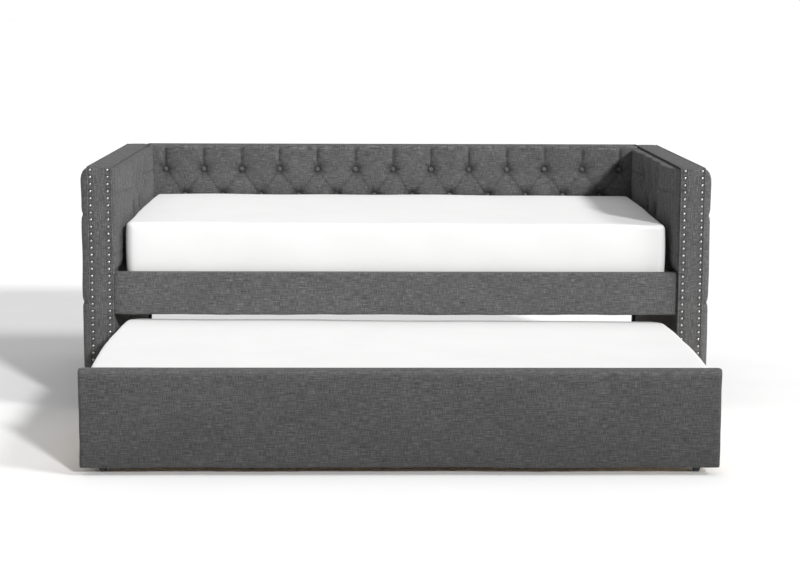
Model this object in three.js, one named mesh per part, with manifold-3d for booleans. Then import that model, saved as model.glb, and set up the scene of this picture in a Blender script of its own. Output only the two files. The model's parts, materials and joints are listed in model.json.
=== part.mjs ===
// Upholstered daybed with a roll-out trundle: two padded arms and a button-tufted back round a
// slatted deck, an upholstered front rail, and a low slatted bed on four fixed casters that rolls
// out from underneath. Millimetres, +Z up, the front of the bed facing -Y.
//
// Inside the daybed group y = 0 is the front plane of the arms. Inside the trundle group y = 0 is
// the front of its upholstered panel. Left and right are as seen from the front.

import * as THREE from "three";
import { RoundedBoxGeometry } from "three/addons/geometries/RoundedBoxGeometry.js";
import { mergeVertices } from "three/addons/utils/BufferGeometryUtils.js";
import Module from "manifold-3d";

// ---- driving dimensions ----

const overallWidth = 2180;
const bedDepth = 1145; // front plane of the arms to the back of the rear cover
const bedHeight = 855;
const armThickness = 108;
const fit = 0.3; // gap left between pieces that touch

const mattressLength = 1890;
const mattressWidth = 988;
const upperMattressTop = 658;
const trundleMattressTop = 319;
const trundleMattressWidth = 975;

const railBottom = 345; // front rail, from the floor
const railTop = 492;
const railSetback = 12; // front rail behind the arms' front plane
const railThickness = 38;
const slatThickness = 18;
const cleatTop = 434;

const panelWidth = 1932;
const panelBottom = 25;
const panelTop = 326;
const panelThickness = 42;
const trundleDepth = 1033;
const trundleOut = 943; // how far the trundle stands out from its stowed place
const trundleFrameBottom = 60;
const trundleBeamTop = 147;

const casterRadius = 25;

// ---- sizes worked out from them ----

const armOuter = overallWidth / 2;
const armInner = armOuter - armThickness;
const outerPadThickness = 26;
const innerPadThickness = 34;
const borderThickness = 6;
const topBorderThickness = 8;
const borderOuter = armOuter - outerPadThickness;
const frameInner = armInner + innerPadThickness;
const frameOuter = borderOuter - fit;
const glideHeight = 12;
const postDepth = 60;
const upholsteryBottom = glideHeight + 2;
const frameTop = bedHeight - topBorderThickness - fit;

const rearCoverThickness = 8;
const backRearPlane = bedDepth - rearCoverThickness;
const backFrameFront = backRearPlane - 40;
const boardThickness = 9;
const boardFront = backFrameFront - fit - boardThickness;
const backPadFront = boardFront - 39.4;
const backBottom = railBottom - 5;

const coverThickness = 5;
const slatTop = cleatTop + fit + slatThickness;

// ---- materials ----

const paint = (color, roughness, metalness = 0) =>
  new THREE.MeshStandardMaterial({ color, roughness, metalness });
const greyLinen = paint(0x5c5c5e, 0.95);
const whiteTicking = paint(0xf2f2f0, 0.9);
const softwood = paint(0xcfa873, 0.7);
const plywood = paint(0xbf9560, 0.75);
const slatWood = paint(0xd8b98a, 0.65);
const blackPlastic = paint(0x1b1b1c, 0.5);
const blackSteel = paint(0x242526, 0.45, 0.8);
const zincSteel = paint(0xb9bcc0, 0.35, 1);

// ---- shape helpers ----

const wasm = await Module();
wasm.setup();

const mesh = (name, material, geometry) => {
  const made = new THREE.Mesh(geometry, material);
  made.name = name;
  return made;
};

// A box between two corners, placed by its position.
const block = (name, material, [x0, x1], [y0, y1], [z0, z1]) => {
  const made = mesh(name, material, new THREE.BoxGeometry(x1 - x0, y1 - y0, z1 - z0));
  made.position.set((x0 + x1) / 2, (y0 + y1) / 2, (z0 + z1) / 2);
  return made;
};

// A box with rounded edges between two corners.
const softBlock = (name, material, [x0, x1], [y0, y1], [z0, z1], radius) => {
  const size = [x1 - x0, y1 - y0, z1 - z0];
  const made = mesh(name, material, new RoundedBoxGeometry(...size, 3, radius));
  made.position.set((x0 + x1) / 2, (y0 + y1) / 2, (z0 + z1) / 2);
  return made;
};

const polygon = (points) => new THREE.Shape(points.map(([a, b]) => new THREE.Vector2(a, b)));

// A (y, z) outline swept along x from x0 to x1.
const sweepAlongX = (shape, x0, x1) => {
  const geometry = new THREE.ExtrudeGeometry(shape, {
    depth: x1 - x0,
    bevelEnabled: false,
    curveSegments: 6,
  });
  const turn = new THREE.Matrix4().makeBasis(
    new THREE.Vector3(0, 1, 0),
    new THREE.Vector3(0, 0, 1),
    new THREE.Vector3(1, 0, 0),
  );
  return geometry.applyMatrix4(turn).translate(x0, 0, 0);
};

// An (x, z) outline swept along y from y0 to y1.
const sweepAlongY = (shape, y0, y1) => {
  const geometry = new THREE.ExtrudeGeometry(shape, {
    depth: y1 - y0,
    bevelEnabled: false,
    curveSegments: 6,
  });
  return geometry.rotateX(Math.PI / 2).translate(0, y1, 0);
};

const solidOf = (geometry) => {
  const plain = geometry.clone().deleteAttribute("normal").deleteAttribute("uv");
  const merged = mergeVertices(plain, 1e-3);
  return new wasm.Manifold(
    new wasm.Mesh({
      numProp: 3,
      vertProperties: merged.attributes.position.array,
      triVerts: new Uint32Array(merged.index.array),
    }),
  );
};

const geometryOf = (solid) => {
  const { vertProperties, triVerts } = solid.getMesh();
  const geometry = new THREE.BufferGeometry();
  geometry.setAttribute("position", new THREE.BufferAttribute(vertProperties, 3));
  geometry.setIndex(new THREE.BufferAttribute(triVerts, 1));
  return geometry;
};

const boxGeometry = ([x0, x1], [y0, y1], [z0, z1]) =>
  new THREE.BoxGeometry(x1 - x0, y1 - y0, z1 - z0).translate(
    (x0 + x1) / 2,
    (y0 + y1) / 2,
    (z0 + z1) / 2,
  );

const sides = [
  ["left", -1],
  ["right", 1],
];

// The span from a to b on one side of the bed, lowest first.
const span = (side, a, b) => (side > 0 ? [a, b] : [-b, -a]);

// ---- arms ----

// The frame of one arm: two posts joined by a top and a bottom rail.
const armFrame = (word, side) => {
  const railHeight = 50;
  const bottomRailHeight = 70;
  const x = span(side, frameInner, frameOuter);
  const front = [borderThickness + fit, borderThickness + fit + postDepth];
  const rearEnd = bedDepth - borderThickness - fit;
  const rear = [rearEnd - postDepth, rearEnd];
  const between = [front[1] + fit, rear[0] - fit];
  const posts = [glideHeight, frameTop];
  return [
    block(`${word}_arm_front_post`, softwood, x, front, posts),
    block(`${word}_arm_rear_post`, softwood, x, rear, posts),
    block(`${word}_arm_top_rail`, softwood, x, between, [frameTop - railHeight, frameTop]),
    block(`${word}_arm_bottom_rail`, softwood, x, between, [
      upholsteryBottom,
      upholsteryBottom + bottomRailHeight,
    ]),
  ];
};

// Foam and cover on the inner face of an arm, behind the front border and under the top one. It
// is plump above the seat and flat below it, where the trundle and the front rail pass.
const innerPad = (word, side) => {
  const plump = 22;
  const slope = 30;
  const face = armInner - plump;
  const hidden = frameInner - fit;
  const outline = polygon([
    [side * hidden, upholsteryBottom],
    [side * armInner, upholsteryBottom],
    [side * armInner, railTop + fit],
    [side * face, railTop + slope],
    [side * face, frameTop - slope],
    [side * armInner, frameTop],
    [side * hidden, frameTop],
  ]);
  const y0 = borderThickness + fit;
  return mesh(`${word}_arm_inner_pad`, greyLinen, sweepAlongY(outline, y0, backPadFront - fit));
};

// Foam and cover on the outer face, rolled over at its top edge.
const outerPad = (word, side) => {
  const inside = borderOuter;
  const rollHeight = 48;
  const lowEdge = 10;
  const outline = new THREE.Shape();
  outline.moveTo(side * inside, upholsteryBottom);
  outline.lineTo(side * (armOuter - lowEdge), upholsteryBottom);
  outline.quadraticCurveTo(
    side * armOuter,
    upholsteryBottom,
    side * armOuter,
    upholsteryBottom + lowEdge,
  );
  outline.lineTo(side * armOuter, bedHeight - rollHeight);
  outline.quadraticCurveTo(side * armOuter, bedHeight, side * inside, bedHeight);
  outline.closePath();
  return mesh(`${word}_arm_outer_pad`, greyLinen, sweepAlongY(outline, 0, bedDepth));
};

// The strip of cover that runs up the front of an arm, along its top and down its rear.
const border = (word, side) => {
  const low = upholsteryBottom;
  const under = bedHeight - topBorderThickness;
  const outline = polygon([
    [0, low],
    [borderThickness, low],
    [borderThickness, under],
    [bedDepth - borderThickness, under],
    [bedDepth - borderThickness, low],
    [bedDepth, low],
    [bedDepth, bedHeight],
    [0, bedHeight],
  ]);
  const [x0, x1] = span(side, armInner, borderOuter - fit);
  return mesh(`${word}_arm_border`, greyLinen, sweepAlongX(outline, x0, x1));
};

const glides = (word, side) => {
  const glideRadius = 20;
  const postCentre = borderThickness + fit + postDepth / 2;
  const places = [
    ["front", postCentre],
    ["rear", bedDepth - postCentre],
  ];
  return places.map(([end, y]) => {
    const height = glideHeight - fit;
    const disc = new THREE.CylinderGeometry(glideRadius, glideRadius, height, 24);
    const made = mesh(`${word}_${end}_glide`, blackPlastic, disc);
    made.rotation.x = Math.PI / 2;
    made.position.set((side * (frameInner + frameOuter)) / 2, y, height / 2);
    return made;
  });
};

// ---- back ----

const back = () => {
  const end = frameInner - fit;
  const railHeight = 50;
  const bottomRailHeight = 90;
  const padBottom = slatTop + 6;
  const padRound = 22;
  const coverOverhang = 5;
  const x = [-end, end];
  const frameY = [backFrameFront, backRearPlane - fit];
  const boardY = [boardFront, boardFront + boardThickness];
  const across = [-armInner + fit, armInner - fit];
  const coverZ = [backBottom - coverOverhang, bedHeight];

  const pad = new THREE.Shape();
  pad.moveTo(backPadFront, padBottom);
  pad.lineTo(boardFront - fit, padBottom);
  pad.lineTo(boardFront - fit, frameTop + fit);
  pad.lineTo(backRearPlane - fit, frameTop + fit);
  pad.lineTo(backRearPlane - fit, bedHeight);
  pad.lineTo(backPadFront + padRound, bedHeight);
  pad.quadraticCurveTo(backPadFront, bedHeight, backPadFront, bedHeight - padRound);
  pad.closePath();

  return [
    block("back_top_rail", softwood, x, frameY, [frameTop - railHeight, frameTop]),
    block("back_bottom_rail", softwood, x, frameY, [backBottom, backBottom + bottomRailHeight]),
    block("back_board", plywood, x, boardY, [backBottom, frameTop]),
    mesh("back_tufted_pad", greyLinen, sweepAlongX(pad, ...across)),
    block("back_rear_cover", greyLinen, across, [backRearPlane, bedDepth], coverZ),
  ];
};

// ---- front rail, cleats and deck ----

const frontRail = () => {
  const cleatWidth = 22;
  const cleatHeight = 30;
  const front = railSetback;
  const rear = railSetback + railThickness;
  const lip = coverThickness;
  const outline = polygon([
    [front, railBottom],
    [rear - fit, railBottom],
    [rear - fit, railBottom + lip],
    [front + lip, railBottom + lip],
    [front + lip, railTop - lip],
    [rear - fit, railTop - lip],
    [rear - fit, railTop],
    [front, railTop],
  ]);
  const end = armInner - fit;
  const cleatZ = [cleatTop - cleatHeight, cleatTop];
  const backCleatY = [boardFront - fit - cleatWidth, boardFront - fit];
  const frontCleatHalf = 920; // stops short of the corner brackets
  const backCleatHalf = 960;
  return [
    mesh("front_rail_cover", greyLinen, sweepAlongX(outline, -end, end)),
    block("front_rail_core", softwood, [-end, end], [front + lip + fit, rear - fit], [
      railBottom + lip + fit,
      railTop - lip - fit,
    ]),
    block("front_cleat", softwood, [-frontCleatHalf, frontCleatHalf], [rear, rear + cleatWidth], cleatZ),
    block("back_cleat", softwood, [-backCleatHalf, backCleatHalf], backCleatY, cleatZ),
  ];
};

// Steel angles that hold the ends of the front rail to the arms.
const cornerBrackets = () => {
  const thickness = 3;
  const leg = 45;
  const height = 90;
  const bottom = 372;
  const wall = armInner - 0.5;
  const rear = railSetback + railThickness;
  return sides.map(([word, side]) => {
    const angle = polygon([
      [side * (wall - leg), rear],
      [side * wall, rear],
      [side * wall, rear + leg],
      [side * (wall - thickness), rear + leg],
      [side * (wall - thickness), rear + thickness],
      [side * (wall - leg), rear + thickness],
    ]);
    const geometry = new THREE.ExtrudeGeometry(angle, { depth: height, bevelEnabled: false });
    const made = mesh(`front_${word}_bracket`, blackSteel, geometry);
    made.position.z = bottom;
    return made;
  });
};

const upperSlats = () => {
  const count = 10;
  const slatWidth = 90;
  const pitch = 190;
  const y = [railSetback + railThickness + fit, boardFront - 2 * fit];
  const z = [cleatTop + fit, slatTop];
  return Array.from({ length: count }, (_, i) => {
    const centre = (i - (count - 1) / 2) * pitch;
    const name = `upper_slat_${String(i + 1).padStart(2, "0")}`;
    return block(name, slatWood, [centre - slatWidth / 2, centre + slatWidth / 2], y, z);
  });
};

const upperMattress = () => {
  const front = railSetback + railThickness + 6;
  return softBlock(
    "upper_mattress",
    whiteTicking,
    [-mattressLength / 2, mattressLength / 2],
    [front, front + mattressWidth],
    [slatTop + fit, upperMattressTop],
    30,
  );
};

// ---- trundle ----

const trundleFrame = () => {
  const sideRailThickness = 18;
  const sideRailTop = 200;
  const beamWidth = 55;
  const half = panelWidth / 2;
  const front = panelThickness + fit;
  const beamEnd = half - sideRailThickness - fit;
  const sideZ = [trundleFrameBottom, sideRailTop];
  const beamZ = [trundleFrameBottom, trundleBeamTop];
  return [
    ...sides.map(([word, side]) =>
      block(
        `trundle_${word}_rail`,
        softwood,
        span(side, half - sideRailThickness, half),
        [front, trundleDepth],
        sideZ,
      ),
    ),
    block("trundle_front_beam", softwood, [-beamEnd, beamEnd], [front, front + beamWidth], beamZ),
    block(
      "trundle_back_beam",
      softwood,
      [-beamEnd, beamEnd],
      [trundleDepth - beamWidth, trundleDepth],
      beamZ,
    ),
  ];
};

// The upholstered front: a board inside a cover that wraps its front, ends, top and bottom.
const trundlePanel = () => {
  const half = panelWidth / 2;
  const wall = coverThickness;
  const outside = boxGeometry([-half, half], [0, panelThickness], [panelBottom, panelTop]);
  const inside = boxGeometry(
    [-half + wall, half - wall],
    [wall, panelThickness + 10],
    [panelBottom + wall, panelTop - wall],
  );
  const cover = geometryOf(solidOf(outside).subtract(solidOf(inside)));
  const inset = wall + fit;
  return [
    mesh("trundle_panel_cover", greyLinen, cover),
    block("trundle_panel_board", plywood, [-half + inset, half - inset], [inset, panelThickness - fit], [
      panelBottom + inset,
      panelTop - inset,
    ]),
  ];
};

// Ten slats stapled to two webbing straps, laid across the beams as one roll.
const trundleSlatRoll = () => {
  const count = 10;
  const slatWidth = 80;
  const pitch = 198;
  const strapWidth = 35;
  const strapThickness = 2;
  const low = trundleBeamTop + fit;
  const high = low + slatThickness;
  const y = [panelThickness + 6, trundleDepth - 6];
  const reach = ((count - 1) / 2) * pitch + slatWidth / 2;
  let roll = null;
  for (let i = 0; i < count; i++) {
    const centre = (i - (count - 1) / 2) * pitch;
    const slat = solidOf(
      boxGeometry([centre - slatWidth / 2, centre + slatWidth / 2], y, [low, high]),
    );
    roll = roll ? roll.add(slat) : slat;
  }
  for (const share of [0.28, 0.72]) {
    const middle = y[0] + share * (y[1] - y[0]);
    const strap = boxGeometry(
      [-reach, reach],
      [middle - strapWidth / 2, middle + strapWidth / 2],
      [high - 0.5, high + strapThickness],
    );
    roll = roll.add(solidOf(strap));
  }
  return mesh("trundle_slat_roll", slatWood, geometryOf(roll));
};

const trundleMattress = () => {
  const front = panelThickness + 4;
  const strapAllowance = 2.3;
  const low = trundleBeamTop + fit + slatThickness + strapAllowance;
  const half = (mattressLength - 4) / 2;
  return softBlock(
    "trundle_mattress",
    whiteTicking,
    [-half, half],
    [front, front + trundleMattressWidth],
    [low, trundleMattressTop],
    30,
  );
};

// ---- casters ----

// A fixed caster: folded steel fork with a top plate, a through axle and a plain wheel.
const caster = (word, x, y) => {
  const axleRadius = 4;
  const bore = axleRadius + fit;
  const wheelWidth = 20;
  const cheekGap = 24;
  const steel = 2.5;
  const forkDepth = 30;
  const forkBottom = 15;
  const plateWidth = 60;
  const plateDepth = 44;
  const plateZ = [trundleFrameBottom - fit - steel, trundleFrameBottom - fit];
  const half = cheekGap / 2;

  const fork = polygon([
    [-half - steel, forkBottom],
    [-half, forkBottom],
    [-half, plateZ[0]],
    [half, plateZ[0]],
    [half, forkBottom],
    [half + steel, forkBottom],
    [half + steel, plateZ[1]],
    [-half - steel, plateZ[1]],
  ]);
  const plate = boxGeometry(
    [-plateWidth / 2, plateWidth / 2],
    [-plateDepth / 2, plateDepth / 2],
    plateZ,
  );
  const hole = new THREE.CylinderGeometry(bore, bore, 80, 20)
    .rotateZ(Math.PI / 2)
    .translate(0, 0, casterRadius);
  const body = solidOf(sweepAlongY(fork, -forkDepth / 2, forkDepth / 2))
    .add(solidOf(plate))
    .subtract(solidOf(hole));
  const bracket = mesh(`${word}_caster_bracket`, blackSteel, geometryOf(body));
  bracket.position.set(x, y, 0);

  const edge = 3;
  const rim = wheelWidth / 2;
  const section = [
    [bore, -rim],
    [casterRadius - edge, -rim],
    [casterRadius, -rim + edge],
    [casterRadius, rim - edge],
    [casterRadius - edge, rim],
    [bore, rim],
    [bore, -rim],
  ].map(([r, h]) => new THREE.Vector2(r, h));
  const wheel = mesh(
    `${word}_caster_wheel`,
    blackPlastic,
    new THREE.LatheGeometry(section, 32),
  );
  wheel.rotation.z = Math.PI / 2;
  wheel.position.set(x, y, casterRadius);

  const axleLength = cheekGap + 2 * steel + 6;
  const axle = mesh(
    `${word}_caster_axle`,
    zincSteel,
    new THREE.CylinderGeometry(axleRadius, axleRadius, axleLength, 20),
  );
  axle.rotation.z = Math.PI / 2;
  axle.position.copy(wheel.position);
  return [bracket, wheel, axle];
};

const casters = () => {
  const reach = 905; // wheel centre from the middle of the trundle
  const clearOfPanel = 3;
  const ends = [
    ["front", panelThickness + fit + casterRadius + clearOfPanel],
    ["rear", trundleDepth - casterRadius - clearOfPanel],
  ];
  return ends.flatMap(([end, y]) =>
    sides.flatMap(([word, side]) => caster(`${end}_${word}`, side * reach, y)),
  );
};

// ---- assembly ----

const daybed = new THREE.Group();
for (const [word, side] of sides) {
  daybed.add(...armFrame(word, side), innerPad(word, side), outerPad(word, side));
  daybed.add(border(word, side), ...glides(word, side));
}
daybed.add(...back(), ...frontRail(), ...cornerBrackets(), ...upperSlats(), upperMattress());

const trundle = new THREE.Group();
trundle.add(...trundlePanel(), ...trundleFrame(), trundleSlatRoll(), trundleMattress());
trundle.add(...casters());
trundle.position.y = -trundleOut;

// The origin is the middle of the footprint, on the floor, with the trundle rolled out.
const bed = new THREE.Group();
bed.add(daybed, trundle);
bed.position.y = (trundleOut - bedDepth) / 2;

export default bed;
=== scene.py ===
"""The looks of an upholstered daybed and its roll-out trundle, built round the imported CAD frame.

Metres, +Z up, the front of the bed facing -Y. Places and sizes come from the CAD nodes, and this
script adds the cloth, foam, buttons, nails, timber grain and light that the CAD leaves plain.
"""

import json
import math

import bmesh
import bpy
import numpy as np
from mathutils import Matrix, Vector


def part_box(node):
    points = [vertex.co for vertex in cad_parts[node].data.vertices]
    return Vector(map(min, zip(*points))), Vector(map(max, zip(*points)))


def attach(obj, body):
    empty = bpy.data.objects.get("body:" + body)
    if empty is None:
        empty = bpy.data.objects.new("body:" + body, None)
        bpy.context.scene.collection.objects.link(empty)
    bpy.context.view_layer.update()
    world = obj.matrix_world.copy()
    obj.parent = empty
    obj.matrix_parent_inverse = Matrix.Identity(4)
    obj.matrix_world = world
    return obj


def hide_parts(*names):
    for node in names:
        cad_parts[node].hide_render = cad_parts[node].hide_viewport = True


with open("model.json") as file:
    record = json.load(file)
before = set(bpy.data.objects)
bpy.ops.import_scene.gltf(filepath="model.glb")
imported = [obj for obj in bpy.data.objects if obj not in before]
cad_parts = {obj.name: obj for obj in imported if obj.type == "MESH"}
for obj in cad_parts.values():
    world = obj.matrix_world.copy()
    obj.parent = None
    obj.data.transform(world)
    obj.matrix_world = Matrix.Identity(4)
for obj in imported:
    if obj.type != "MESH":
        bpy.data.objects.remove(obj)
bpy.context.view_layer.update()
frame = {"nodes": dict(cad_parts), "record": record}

# ---- sizes, in metres ----

TUFT_STEP = 0.004  # mesh spacing on tufted faces
OUTSIDE_STEP = 0.005  # mesh spacing on the arms' outer faces
TRIM_STEP = 0.0025  # mesh spacing where nails dent the cloth
PLAIN_STEP = 0.012  # mesh spacing on plain upholstery
SMOOTH_STEP = 0.016  # mesh spacing on mattresses

BACK_ROLL = 0.014  # radius of the back's top edge
BACK_CROWN = 0.003  # how far the tufted face stands proud between its buttons
BACK_BUTTON_PITCH = 0.151
BACK_TOP_ROW = 0.762  # height of the top row of buttons
BACK_ROW_RISE = 0.104
ARM_BUTTON_PITCH = 0.2
OUTSIDE_TOP_ROW = 0.69
OUTSIDE_ROW_RISE = 0.1525
BUTTON_RADIUS = 0.01
BUTTON_HEIGHT = 0.0075

FOLD_WIDTH = 0.005  # half-width of the fold between two buttons
FOLD_FADE = 0.032  # distance from a button over which its folds get shallow
FOLD_LEAST = 0.12  # share of its depth that a fold keeps midway
PIT_RADIUS = 0.019
PUCKERS = 7  # small folds round a button
PUCKER_DEPTH = 0.0013
PUCKER_RING = 0.026  # distance of the puckers from their button
PUCKER_LENGTH = 0.012
PULL_REACH = 0.16  # a button moves nothing further away than this

# painted shade on the tufts: the cloth is painted darker in folds, pleats and pits, where shade falls
FOLD_SHADE = 0.5  # painted shade: how much darker the cloth is painted in a fold
FOLD_SHADE_WIDTH = 0.0045
FOLD_SHADE_FADE = 0.035
FOLD_SHADE_LEAST = 0.2
PLEAT_SHADE = 0.3
PIT_SHADE = 0.6
PIT_SHADE_RADIUS = 0.0235

RAIL_DROP = 0.006  # how far the rail's padding hangs below its board

PIPING_RADIUS = 0.0031
NAIL_RADIUS = 0.005
NAIL_HEIGHT = 0.003
NAIL_PITCH = 0.0245
NAIL_FROM_INSIDE = 0.0125  # inner nail row, from the strip's inner edge
NAIL_FROM_OUTSIDE = 0.0095  # outer nail row, from the strip's outer edge
NAIL_TOP_GAP = 0.01
NAIL_DENT = 0.0024  # how far a nail pulls the cloth in

THREADS = 620  # linen threads per metre

MATTRESS_ROLL = 0.017  # radius of a mattress's level edges
BORDER_SHADE = 0.24  # painted shade: how much darker a mattress's upright sides are painted than its top

FLOOR_SIZE = 400
SKY = [(0.0, 1.0), (0.03, 0.99), (0.06, 0.25), (0.5, 0.3), (1.0, 0.6)]  # (height, brightness)

# ---- shape helpers ----


def rounded(distance, radius):
    """How far a rolled edge has risen: 0 at the edge, 1 from one radius inside it."""
    share = np.clip(distance / radius, 0, 1)
    return np.sqrt(1 - (1 - share) ** 2)


def bump(value, width):
    """1 where value is 0, falling smoothly to nothing a few widths away."""
    return np.exp(-((value / width) ** 2))


def spaced(start, end, step, edge=0.0, edge_steps=7):
    """Coordinates from start to end about step apart, closing up within edge of both ends."""
    count = max(2, round((end - start - 2 * edge) / step) + 1)
    middle = np.linspace(start + edge, end - edge, count)
    if edge == 0:
        return middle
    rise = edge * (1 - np.cos(np.linspace(0, math.pi / 2, edge_steps)))[:-1]
    return np.concatenate([start + rise, middle, (end - rise)[::-1]])


def ripple(a, b, seed, wavelength):
    """A smooth wandering value, mostly between -1 and 1, for every pair of coordinates."""
    rng = np.random.default_rng(seed)
    total = 0.0
    waves = 7
    for _ in range(waves):
        heading, phase = rng.uniform(0, 2 * math.pi, 2)
        length = wavelength * rng.uniform(0.6, 1.7)
        total = total + np.sin(
            (a * math.cos(heading) + b * math.sin(heading)) * 2 * math.pi / length + phase
        )
    return total / math.sqrt(waves)


def fillet(corners, radii, steps, arc_steps=6):
    """Points along a polyline whose corners are rounded. steps holds the spacing on each leg."""
    corners = [np.array(corner, float) for corner in corners]
    points = []
    for k, corner in enumerate(corners):
        if radii[k] == 0:
            points.append([corner])
            continue
        before = corners[k - 1] - corner
        after = corners[k + 1] - corner
        before = before / np.linalg.norm(before)
        after = after / np.linalg.norm(after)
        half = math.acos(np.clip(before @ after, -1, 1)) / 2
        reach = radii[k] / math.tan(half)
        centre = corner + (before + after) / np.linalg.norm(before + after) * radii[k] / math.sin(half)
        first = (corner + before * reach - centre) / radii[k]
        last = (corner + after * reach - centre) / radii[k]
        sweep = math.pi - 2 * half
        shares = np.linspace(0, 1, arc_steps + 1)
        points.append([
            centre
            + radii[k] * (math.sin((1 - f) * sweep) * first + math.sin(f * sweep) * last) / math.sin(sweep)
            for f in shares
        ])
    line = list(points[0])
    for leg, run in enumerate(points[1:]):
        gap = np.linalg.norm(run[0] - line[-1])
        pieces = max(1, round(gap / steps[leg]))
        start = line[-1]
        line += [start + (run[0] - start) * i / pieces for i in range(1, pieces)]
        line += run
    return np.array(line)


def lengths(points):
    """Distance along a line of points, from its start."""
    return np.concatenate([[0], np.cumsum(np.linalg.norm(np.diff(points, axis=0), axis=1))])


def left_normals(points):
    """Unit vectors to the left of a plane line's direction of travel."""
    along = np.gradient(points, axis=0)
    along /= np.linalg.norm(along, axis=1)[:, None]
    return np.stack([-along[:, 1], along[:, 0]], axis=1)


def add_object(name, points, faces, corner_uvs=None, smooth_angle=40):
    """One mesh object, with normals facing out and the cloth's coordinates, in metres, as its UVs."""
    mesh = bpy.data.meshes.new(name)
    mesh.from_pydata(np.asarray(points, float).tolist(), [], faces)
    if corner_uvs is not None:
        mesh.uv_layers.new(name="cloth").data.foreach_set("uv", np.asarray(corner_uvs, float).ravel())
    shape = bmesh.new()
    shape.from_mesh(mesh)
    bmesh.ops.recalc_face_normals(shape, faces=shape.faces)
    shape.to_mesh(mesh)
    shape.free()
    mesh.shade_smooth()
    mesh.set_sharp_from_angle(angle=math.radians(smooth_angle))
    made = bpy.data.objects.new(name, mesh)
    bpy.context.scene.collection.objects.link(made)
    return made


def grid_faces(index):
    """Four-cornered faces over a grid of vertex numbers."""
    a, b = index[:-1], index[1:]
    return np.stack([a[:, :-1], a[:, 1:], b[:, 1:], b[:, :-1]], axis=-1).reshape(-1, 4)


def grid_uvs(u, v):
    """The cloth's coordinates at the corners of the faces that grid_faces makes."""
    a, b = np.stack([u, v], axis=-1)[:-1], np.stack([u, v], axis=-1)[1:]
    return np.stack([a[:, :-1], a[:, 1:], b[:, 1:], b[:, :-1]], axis=2).reshape(-1, 2)


def loft(name, rings, along):
    """One closed body skinned over closed rings of points. along is each ring's cloth coordinate."""
    count, size = rings.shape[:2]
    index = np.arange(count * size).reshape(count, size)
    wrapped = np.concatenate([index, index[:, :1]], axis=1)
    around = lengths(np.concatenate([rings[count // 2], rings[count // 2][:1]]))
    u, v = np.meshgrid(along, around, indexing="ij")
    faces = grid_faces(wrapped).tolist()
    uvs = [grid_uvs(u, v)]
    for cap in (0, count - 1):
        faces.append(index[cap].tolist())
        uvs.append(np.stack([rings[cap, :, 0] + rings[cap, :, 1], rings[cap, :, 2]], axis=1))
    return add_object(name, rings.reshape(-1, 3), faces, np.concatenate(uvs))


def face_pad(name, s, t, points):
    """One closed pad: a grid of points whose flat outline is closed by a single back face. The cloth
    is laid out by its length over the pad's middle, so it doesn't stretch down the pad's sides."""
    index = np.arange(len(s) * len(t)).reshape(len(s), len(t))
    ring = np.concatenate([index[:-1, 0], index[-1, :-1], index[:0:-1, -1], index[0, :0:-1]])
    over = lengths(points[:, len(t) // 2])
    up = lengths(points[len(s) // 2])
    u, v = np.meshgrid(over, up, indexing="ij")
    flat = np.stack([u.ravel(), v.ravel()], axis=1)
    faces = [*grid_faces(index).tolist(), ring.tolist()]
    uvs = np.concatenate([grid_uvs(u, v), flat[ring]])
    return add_object(name, points.reshape(-1, 3), faces, uvs)


def soft_box(name, low, high, corner, radius, step, open_side=None):
    """A box whose upright edges have the corner radius and whose level edges have the other radius.
    open_side is (axis, end) of a face to leave out."""
    low, high = np.array(low, float), np.array(high, float)
    eased = np.array([corner, corner, radius])
    axes = [spaced(low[k], high[k], step, eased[k], 10) for k in range(3)]
    points, faces, uvs = [], [], []
    offset = 0
    for axis in range(3):
        a, b = [k for k in range(3) if k != axis]
        for end in (0, 1):
            if (axis, end) == open_side:
                continue
            u, v = np.meshgrid(axes[a], axes[b], indexing="ij")
            sheet = np.zeros((*u.shape, 3))
            sheet[..., a], sheet[..., b] = u, v
            sheet[..., axis] = (low, high)[end][axis]
            points.append(sheet.reshape(-1, 3))
            faces.append(grid_faces(np.arange(u.size).reshape(u.shape) + offset))
            uvs.append(grid_uvs(u, v))
            offset += u.size
    points = np.concatenate(points)
    core_low, core_high = low + eased, high - eased
    if open_side:
        axis, end = open_side
        (core_low, core_high)[end][axis] = (low, high)[end][axis]
    core = np.clip(points, core_low, core_high)
    out = points - core
    reach = np.abs(out[:, :2]).max(axis=1)
    past = np.clip((reach - corner + radius) / radius, 0, 1)
    rise = np.abs(out[:, 2]) / radius
    turn = np.maximum(np.hypot(past, rise), 1e-9) / np.maximum(np.maximum(past, rise), 1e-9)
    reach = np.where(past > 0, corner - radius + radius * past / turn, reach)
    level = out[:, :2] * (reach / np.maximum(np.linalg.norm(out[:, :2], axis=1), 1e-9))[:, None]
    points = core + np.column_stack([level, out[:, 2] / turn])
    made = add_object(name, points, np.concatenate(faces).tolist(), np.concatenate(uvs))
    shape = bmesh.new()
    shape.from_mesh(made.data)
    bmesh.ops.remove_doubles(shape, verts=shape.verts, dist=1e-5)
    bmesh.ops.recalc_face_normals(shape, faces=shape.faces)
    shape.to_mesh(made.data)
    shape.free()
    return made


def lathe(profile, segments=14):
    """Points and faces of a closed body turned about +Z from (radius, height) pairs, low to high."""
    points, faces = [], []
    for radius, height in profile:
        for k in range(segments):
            angle = 2 * math.pi * k / segments
            points.append((radius * math.cos(angle), radius * math.sin(angle), height))
    index = np.arange(len(points)).reshape(-1, segments)
    index = np.concatenate([index, index[:, :1]], axis=1)
    faces = grid_faces(index).tolist()
    faces += [index[0, :-1].tolist(), index[-1, :-1].tolist()]
    return np.array(points), faces


def turned_to(direction):
    """The rotation that takes +Z to a direction."""
    return np.array(Vector(direction).to_track_quat("Z", "Y").to_matrix())


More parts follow.
